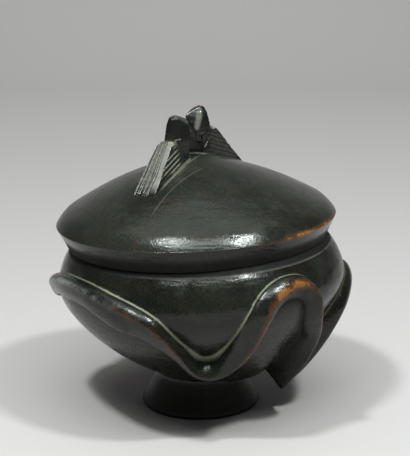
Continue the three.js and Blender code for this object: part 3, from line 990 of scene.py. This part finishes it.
def to_handle(points):
    """Lid points as reach along the handle's line, offset across it to the right, and height."""
    x = points[:, 0] - HANDLE_X
    y = points[:, 1] - HANDLE_Y
    reach = -sin(HANDLE_ANGLE) * x - cos(HANDLE_ANGLE) * y
    offset = cos(HANDLE_ANGLE) * x - sin(HANDLE_ANGLE) * y
    return np.stack([reach, offset, points[:, 2]], 1)


def from_handle(points):
    x = -sin(HANDLE_ANGLE) * points[:, 0] + cos(HANDLE_ANGLE) * points[:, 1] + HANDLE_X
    y = -cos(HANDLE_ANGLE) * points[:, 0] - sin(HANDLE_ANGLE) * points[:, 1] + HANDLE_Y
    return np.stack([x, y, points[:, 2]], 1)


def outside_birds(local):
    """How far a point of the dome is outside the birds' footprint."""
    aside = np.maximum(local[:, 1] - WING_RIGHT_WIDTH, -WING_LEFT_WIDTH - local[:, 1])
    return np.maximum(aside, np.abs(local[:, 0]) - TAIL_REACH)


def ledged(points):
    """Leaves a low ledge on the dome round the birds, with a groove between."""
    moved = points.copy()
    local = to_handle(points)
    away = outside_birds(local)
    fade = (1 - smooth_step(36, 56, np.abs(local[:, 0]))) * (points[:, 2] > LID_EDGE_HEIGHT + 12)
    radius = np.hypot(points[:, 0], points[:, 1])
    top = np.array([dome_height(r) for r in radius])
    fade = fade * (points[:, 2] > top - 3)
    ledge = LEDGE_HEIGHT * smooth_step(0.6, 1.6, away) * (1 - smooth_step(1.8, 11, away))
    groove = LEDGE_GROOVE_DEPTH * fading(away - 0.3, 0.7)
    moved[:, 2] += (ledge - groove) * fade
    return moved


def hull(name, corners):
    """The smallest solid without hollows round some corners."""
    shape = bmesh.new()
    for corner in corners:
        shape.verts.new(Vector(corner) * MM)
    made = bmesh.ops.convex_hull(shape, input=list(shape.verts))
    inner = {part for part in made["geom_interior"] if isinstance(part, bmesh.types.BMVert)}
    bmesh.ops.delete(shape, geom=list(inner), context="VERTS")
    bmesh.ops.recalc_face_normals(shape, faces=shape.faces)
    return object_from(shape, name)


def wing_outline(side, wing_rise, root, beak_height):
    shoulder = beak_height - SHOULDER_DROP
    top = beak_height + wing_rise
    tail = dome_height(TAIL_REACH) + TAIL_RISE
    neck = NAPE_REACH - CHEST_REACH
    slope = (top - tail) / (TAIL_REACH - WING_TOP_REACH)
    bend = 0.12 * (TAIL_REACH - WING_TOP_REACH)
    profile = [
        (CHEST_REACH + 0.1 * neck, root),
        (CHEST_REACH + 0.1 * neck, shoulder - 0.5 * neck),
        (NAPE_REACH - 0.25 * neck, shoulder),
        (NAPE_REACH, top - TAIL_THICKNESS / 3),
        (WING_TOP_REACH, top),
        (WING_TOP_REACH + bend, top - slope * bend + TAIL_THICKNESS / 6),
        (TAIL_REACH, tail),
        (TAIL_REACH + TAIL_RISE, tail - 2 * TAIL_RISE),
        (TAIL_REACH, dome_height(TAIL_REACH) - LID_THICKNESS / 2),
    ]
    return [(side * reach, height) for reach, height in profile]


def wing_section(wing_rise, wing_top_width, beak_height):
    top = beak_height + wing_rise
    turn_in = WING_LEFT_WIDTH - wing_top_width / 2
    return [
        (-WING_LEFT_WIDTH, 0),
        (WING_RIGHT_WIDTH, 0),
        (WING_RIGHT_WIDTH, beak_height - 1.6 * WING_FLARE_DROP),
        (0.9 * WING_RIGHT_WIDTH, beak_height - WING_FLARE_DROP),
        (wing_top_width, top - TAIL_THICKNESS),
        (wing_top_width / 2, top),
        (-turn_in, top),
        (-WING_LEFT_WIDTH, top - TAIL_THICKNESS),
    ]


def bird(label, side, wing_rise, wing_top_width):
    root = dome_height(0) - LID_THICKNESS / 2
    beak_height = dome_height(0) + BEAK_RISE
    width = 2 * (WING_LEFT_WIDTH + WING_RIGHT_WIDTH)
    wings = combined(
        prism("wings", wing_outline(side, wing_rise, root, beak_height), width, "side"),
        prism("section", wing_section(wing_rise, wing_top_width, beak_height), 3 * TAIL_REACH, "end"),
        "INTERSECT",
    )
    neck = [(side * reach, height) for reach, height in (
        (CHEST_REACH, root), (NAPE_REACH, root), (NAPE_REACH, beak_height + NECK_RISE),
        (CHEST_REACH, beak_height + NECK_RISE),
    )]
    head = hull(label, [(reach, offset, beak_height + rise) for reach, offset, rise in HEADS[label]])
    combined(head, prism("neck", neck, HEAD_WIDTH, "side"), "UNION")
    return combined(head, wings, "UNION")


def feather_tree():
    """Cuts grooves into a surface, side by side, where its points say how far along they are."""
    number = "NodeSocketFloat"
    tree = Shaping("feather grooves", [
        ("Depth", number, FEATHER_DEPTH * MM),
        ("Sharpness", number, FEATHER_SHARPNESS),
        ("Material", "NodeSocketMaterial", None),
    ])
    phase = tree.stored("groove_count")
    wave = phase.maths("ABSOLUTE", phase.maths("SINE", phase * pi))
    valley = (1.0 - wave) ** tree.given("Sharpness") * tree.stored("groove_share")
    way = tree.wire("GeometryNodeInputNormal")
    shift = tree.scaled(way, valley * tree.given("Depth") * -1.0)
    values = {"Geometry": tree.given("Geometry"), "Offset": shift}
    tree.finish(tree.wire("GeometryNodeSetPosition", None, values))
    return tree


def feather_marks(points, ways):
    """Where each point of the birds lies between the feathers' grooves, and how deep they are."""
    reach = np.abs(points[:, 0])
    side = np.sign(points[:, 0])
    beak_height = dome_height(0) + BEAK_RISE
    floor = np.array([dome_height(r) for r in np.minimum(reach, LID_RADIUS)])
    rear = side < 0
    top = beak_height + np.where(rear, BIRDS["rear"]["wing_rise"], BIRDS["front"]["wing_rise"])
    narrow = np.where(rear, BIRDS["rear"]["wing_top_width"], BIRDS["front"]["wing_top_width"])
    fall = np.clip((top - points[:, 2]) / (top - beak_height + WING_FLARE_DROP), 0, 1)
    right = narrow / 2 + (0.9 * WING_RIGHT_WIDTH - narrow / 2) * fall
    share = (points[:, 1] + WING_LEFT_WIDTH) / (right + WING_LEFT_WIDTH)
    back = smooth_step(0.3, 0.55, ways[:, 2]) * smooth_step(WING_TOP_REACH - 3, WING_TOP_REACH, reach)
    strips = share / STRIP_SHARE * BACK_STRIPS
    strips = strips + 0.2 * np.sin(2.6 * strips) + 0.12 * np.sin(reach / 6 + 2 * strips)
    back = back * (share < STRIP_SHARE + 0.02) * (share > 0)
    above = points[:, 2] - floor
    lowering = np.clip((reach - WING_TOP_REACH) / (TAIL_REACH - WING_TOP_REACH), 0, 1)
    tall = np.maximum((top - floor) * (1 - lowering) + TAIL_RISE * lowering, 1)
    flank = smooth_step(0.5, 0.75, np.abs(ways[:, 1]))
    flank = flank * smooth_step(NAPE_REACH - 5, NAPE_REACH - 1, reach)
    flank = flank * (above > 0.5) * (1 - smooth_step(tall - 4, tall - 2.5, above))
    flank = flank * (1 - smooth_step(TAIL_REACH - 12, TAIL_REACH - 5, reach))
    chosen = back > flank
    return np.where(chosen, strips, above / FLANK_SPACING), np.where(chosen, back, flank)


def from_segment(points, start, end):
    """How far points are from a straight line between two places."""
    start = np.array(start)
    way = np.array(end) - start
    along = np.clip((points - start) @ way / (way @ way), 0, 1)
    return np.linalg.norm(points - start - along[:, None] * way, axis=1)


def paleness(points, ways):
    """How pale the birds are, partly from dust and rubbing and partly painted light on faces turned
    up and painted sheen on the heads' ridges: most on the smooth strip along the back, less on the
    feathers' tops and the heads' ridges, and not at all on the flanks."""
    reach = np.abs(points[:, 0])
    upward = smooth_step(0.3, 0.6, ways[:, 2])
    counts, shares = feather_marks(points, ways)
    wings = upward * smooth_step(NAPE_REACH, WING_TOP_REACH, reach)
    wings *= 1 - smooth_step(TAIL_REACH - 8, TAIL_REACH + 1, reach)
    tops = np.abs(np.sin(counts * pi)) * shares
    pale = np.maximum(wings * tops * 0.5, wings * (shares < 0.2) * 0.95)
    beak_height = dome_height(0) + BEAK_RISE
    for start, end, spread, amount in HEAD_RIDGE_SHEEN_AND_RUBBING:
        gap = from_segment(points - [0, 0, beak_height], start, end)
        pale = np.maximum(pale, amount * np.exp(-(gap / spread) ** 4))
    return pale


def collar(points):
    """A light line round each bird's neck, where the wings begin."""
    reach = np.abs(points[:, 0])
    rise = points[:, 2] - dome_height(0) - BEAK_RISE
    at_nape = fading(reach - NAPE_REACH - 0.9, 1.1)
    return at_nape * smooth_step(-12, -6, rise) * (rise < 9)


def make_handle():
    birds = [bird(label, **shape) for label, shape in BIRDS.items()]
    pair = combined(birds[0], birds[1], "UNION")
    step = pair.modifiers.new("even", "REMESH")
    step.mode = "VOXEL"
    step.voxel_size = HANDLE_VOXEL * MM
    settled(pair)
    relax(pair.data, weight=np.full(len(pair.data.vertices), 0.5), rounds=3)
    ways = normals(pair.data)
    counts, shares = feather_marks(positions(pair.data), ways)
    give_values(pair.data, "groove_count", counts)
    depth_share = np.where(ways[:, 2] > 0.3, 1, FLANK_DEPTH_SHARE)
    give_values(pair.data, "groove_share", shares * depth_share)
    feather_tree().run_on(pair)
    place_points(pair.data, from_handle(positions(pair.data)))
    return pair


def lid_values(points, ways, gap):
    """What the lid's finish needs to know at each point: how far it is from a corner and how dusty
    that is, the painted shade in the feather grooves and over the birds' heads, necks and flanks, the
    birds' pale parts, partly dust and partly painted light, the painted shade on the lower bevel, and
    the bare wood."""
    local = to_handle(points)
    reach = np.abs(local[:, 0])
    radius = np.hypot(points[:, 0], points[:, 1])
    height = points[:, 2]
    counts, shares = feather_marks(local, ways)
    floor = np.array([dome_height(r) for r in radius])
    on_bird = smooth_step(0.8, 1.6, height - floor) * (height > LID_EDGE_HEIGHT + 10)
    crest = np.abs(np.sin(counts * pi))
    on_back = smooth_step(0.3, 0.55, ways[:, 2]) > 0.5
    # Painted shade: darker in the feather grooves.
    back_groove_shade = 1 - smooth_step(0.1, 0.8, crest)
    flank_groove_shade = 1 - smooth_step(0.55, 1, crest) * 0.75
    groove = np.where(on_back, back_groove_shade, flank_groove_shade) * shares
    pale = paleness(local, ways) * on_bird
    # Painted shade over the heads and necks, and less over the rest of the birds, except where they
    # are pale.
    head_and_flank_shade = np.where(reach < NAPE_REACH + 1.5, 0.8, 0.6) * (1 - np.clip(2 * pale, 0, 1))
    beside = smooth_step(-8, -4, local[:, 1]) * (1 - smooth_step(42, 54, reach))
    rim_gap = np.hypot(radius - LID_RADIUS, height - LID_EDGE_HEIGHT)
    return {
        "crevice": gap,
        # painted shade in the grooves and over the birds' heads, necks and flanks
        "groove": np.maximum(groove, head_and_flank_shade) * on_bird,
        "dusty": (0.45 - 0.2 * on_bird) * beside,
        "pale": pale,
        "collar": collar(local) * on_bird,
        # painted shade on the lower part of the lid's bevel, above the seam
        "painted_shade": 1 - smooth_step(LID_SEAT_HEIGHT + 5, LID_SEAT_HEIGHT + 11, height),
        "wear": looked_up(RIM_WEAR, from_front(points)) * fading(rim_gap, 3.0),
    }


def make_lid():
    lid = revolve("carved_lid", lid_outline(), LID_COLUMNS, ledged)
    combined(lid, make_handle(), "UNION")
    points = positions(lid.data)
    by_birds = (outside_birds(to_handle(points)) < 3) & (points[:, 2] > LID_EDGE_HEIGHT + 15)
    creases = [index for index in hollow_creases(lid, LID_CREASE_ANGLE) if by_birds[index]]
    gap = nearest(points, points[creases])[1]
    relax(lid.data, weight=np.clip(1 - gap / 1.2, 0, 1) * 0.5, rounds=2)
    height = positions(lid.data)[:, 2]
    above_seat = smooth_step(LID_SEAT_HEIGHT + 2, LID_SEAT_HEIGHT + 6, height)
    hand_carved(lid.data, depth=0.3, size=30, seed=11, share=above_seat)
    points = positions(lid.data)
    for name, value in lid_values(points, normals(lid.data), gap).items():
        give_values(lid.data, name, value)
    place_points(lid.data, lean(points, LID_OFFSET))
    smooth_shaded(lid)
    return lid


def shoulder_line(graph, place):
    """1 on the line round the bowl's shoulder and 0 beside it."""
    split = graph.add("ShaderNodeSeparateXYZ", None, {"Vector": place})
    x = Wire(graph, split.outputs["X"]) / MM
    z = Wire(graph, split.outputs["Z"]) / MM
    height = (z - LEAN_PIVOT_HEIGHT) * cos(LEAN) - x * sin(LEAN) + LEAN_PIVOT_HEIGHT
    off = height - SHOULDER_LINE_HEIGHT
    return 1.0 - off.maths("ABSOLUTE", off).over(0.15, 0.75)


def waxed_wood(name, hue, has_birds):
    """Near-black waxed wood: soft gloss, pale dust in its corners, brown where it is worn, with
    painted shade and highlights laid on.
    """
    material = bpy.data.materials.new(name)
    material.use_nodes = True
    graph = Graph(material.node_tree)
    shader = material.node_tree.nodes["Principled BSDF"]
    place = graph.wire("ShaderNodeTexCoord", None, None, "Object")
    grain_place = graph.wire("ShaderNodeMapping", None, {"Vector": place, "Scale": (1, 1, 0.12)})
    cut_place = graph.wire("ShaderNodeMapping", None, {"Vector": place, "Scale": (0.35, 0.35, 1.5)})
    clouds = graph.speckle(place, 26, 5, 0.6)
    blotches = graph.speckle(place, 90, 4, 0.65)
    patina = graph.speckle(place, 48, 6, 0.7)
    fine = graph.speckle(place, 420, 3, 0.6)
    grit = graph.speckle(place, 1000, 2, 0.6)
    cuts = graph.speckle(cut_place, 130, 2, 0.5)
    grain = graph.speckle(grain_place, 700, 4, 0.6)
    crevice = graph.number("crevice")
    painted_shade = graph.number("painted_shade")
    settled_dust = (1 - crevice.over(0.1, 1.35)) * graph.number("dusty")
    dust = settled_dust * (blotches.over(0.25, 0.5) * 0.5 + 0.5)
    film = (1 - crevice.over(0.6, 4.0)) * graph.number("dusty") * blotches.over(0.45, 0.7)
    unevenness = (blotches - 0.5) * 2.6 + (patina - 0.5) * 1.8 + (fine - 0.5) * 1.1
    wear = graph.number("wear") * (unevenness + 0.95)
    lighter = (hue[0] * 1.7, hue[1] * 1.8, hue[2] * 1.7, 1)
    brown = (hue[0] * 2.8, hue[1] * 1.9, hue[2] * 1.5, 1)
    layers = [
        (clouds.over(0.35, 0.65), lighter),
        (blotches.over(0.5, 0.7) * 0.6, brown),
        (grain.over(0.5, 0.75) * 0.35, brown),
        (patina.over(0.5, 0.72) * 0.55, BLOOM),
        (grit.over(0.5, 0.72) * 0.45, BLOOM),
        ((1 - grit.over(0.3, 0.5)) * 0.5, PITCH),
        (grit.over(0.74, 0.80) * clouds.over(0.45, 0.6) * 0.6, SPECK),
        (wear.over(0.25, 0.75) * 0.8, WORN_RED),
        (wear.over(0.8, 1.25) * 0.9, WORN_ORANGE),
        # painted shade at the seam, on the lid's lower bevel, on the foot and under the band's second
        # crest
        (painted_shade * 0.85, SHADE_PAINT),
        (film * 0.35, DUST_FILM),
        (dust * 0.75, DUST),
    ]
    if has_birds:
        layers += [
            (graph.scratch(place) * patina * 0.55, SCRATCHED),
            # the birds' pale parts: dust and rubbing, partly painted light on faces turned up and
            # painted sheen on the heads' ridges
            (graph.number("pale") * (0.35 + fine * 0.5), PALE_WING_DUST_AND_SHEEN),
            (graph.number("collar") * 0.5, COLLAR),
            # painted shade in the feather grooves and over the birds' heads, necks and flanks
            (graph.number("groove") * 0.85, GROOVE_SHADE),
        ]
    else:
        line = graph.number("line") * shoulder_line(graph, place) * blotches.over(0.3, 0.55)
        # a painted highlight along the band's ridge on the left
        ridge_highlight = graph.number("ridge_highlight") * patina.over(0.35, 0.6)
        layers += [(line * 0.5, LINE), (ridge_highlight * 0.85, RIDGE_HIGHLIGHT_PAINT)]
    colour = hue
    for share, laid_on in layers:
        colour = graph.blend(share, colour, laid_on)
    roughness = 0.215 + (clouds - 0.5) * 0.25 + (patina - 0.5) * 0.35 + (fine - 0.5) * 0.3
    roughness = roughness + dust * 0.45 + painted_shade * 0.6
    shader.inputs["Specular IOR Level"].default_value = 0.33
    graph.tree.links.new(colour.socket, shader.inputs["Base Color"])
    graph.tree.links.new(roughness.socket, shader.inputs["Roughness"])
    height = fine * 0.45 + grain * 0.3 + cuts * 1.7 + patina * 0.9
    values = {"Height": height, "Strength": 0.5, "Distance": 0.0005}
    bump = graph.wire("ShaderNodeBump", None, values, "Normal")
    graph.tree.links.new(bump.socket, shader.inputs["Normal"])
    return material


def floor_and_backdrop():
    """A plain pale floor that curves up behind into a backdrop."""
    radius = FLOOR_BEND_RADIUS
    outline = [(FLOOR_FRONT, 0.0)]
    for turn in np.linspace(0, pi / 2, 24):
        outline.append((FLOOR_BEND_START + radius * sin(turn), radius - radius * cos(turn)))
    outline.append((FLOOR_BEND_START + radius, BACKDROP_HEIGHT))
    shape = bmesh.new()
    rows = []
    for y, z in outline:
        rows.append([shape.verts.new((x, y, z)) for x in (-FLOOR_HALF_WIDTH, FLOOR_HALF_WIDTH)])
    for first, second in zip(rows, rows[1:]):
        shape.faces.new((first[0], first[1], second[1], second[0]))
    bmesh.ops.recalc_face_normals(shape, faces=shape.faces)
    floor = object_from(shape, "floor")
    material = bpy.data.materials.new("plain_floor")
    material.use_nodes = True
    shader = material.node_tree.nodes["Principled BSDF"]
    shader.inputs["Base Color"].default_value = FLOOR_COLOUR
    shader.inputs["Roughness"].default_value = FLOOR_ROUGHNESS
    floor.data.materials.append(material)
    smooth_shaded(floor)


def lamp(name, aim, azimuth, elevation, distance, size, radiance):
    """A soft rectangular lamp, aimed at a place."""
    data = bpy.data.lights.new(name, "AREA")
    data.shape = "RECTANGLE"
    data.size, data.size_y = size
    data.energy = radiance * pi * size[0] * size[1]
    data.color = LAMP_COLOUR
    thing = linked(name, data)
    turn = radians(azimuth)
    level = cos(radians(elevation))
    way = Vector((level * sin(turn), -level * cos(turn), sin(radians(elevation))))
    thing.location = Vector(aim) + way * distance
    thing.rotation_euler = (-way).to_track_quat("-Z", "Y").to_euler()


def light():
    for name, settings in LAMPS.items():
        lamp(name, *settings)
    world = bpy.data.worlds.new("studio")
    bpy.context.scene.world = world
    world.use_nodes = True
    background = world.node_tree.nodes["Background"]
    background.inputs["Color"].default_value = SURROUNDING_COLOUR
    background.inputs["Strength"].default_value = SURROUNDING_STRENGTH
    bpy.context.scene.view_settings.view_transform = "Standard"


set_camera()
floor_and_backdrop()
light()

bowl = make_bowl()
bowl.data.materials.clear()
bowl.data.materials.append(waxed_wood("bowl_wood_finish", BOWL_HUE, False))
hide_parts("bowl")
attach(bowl, "vessel")

lid = make_lid()
lid.data.materials.clear()
lid.data.materials.append(waxed_wood("lid_wood_finish", LID_HUE, True))
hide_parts("lid")
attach(lid, "cover")

for thing in (bowl, lid):
    print(thing.name, sum(len(face.vertices) - 2 for face in thing.data.polygons), "triangles")
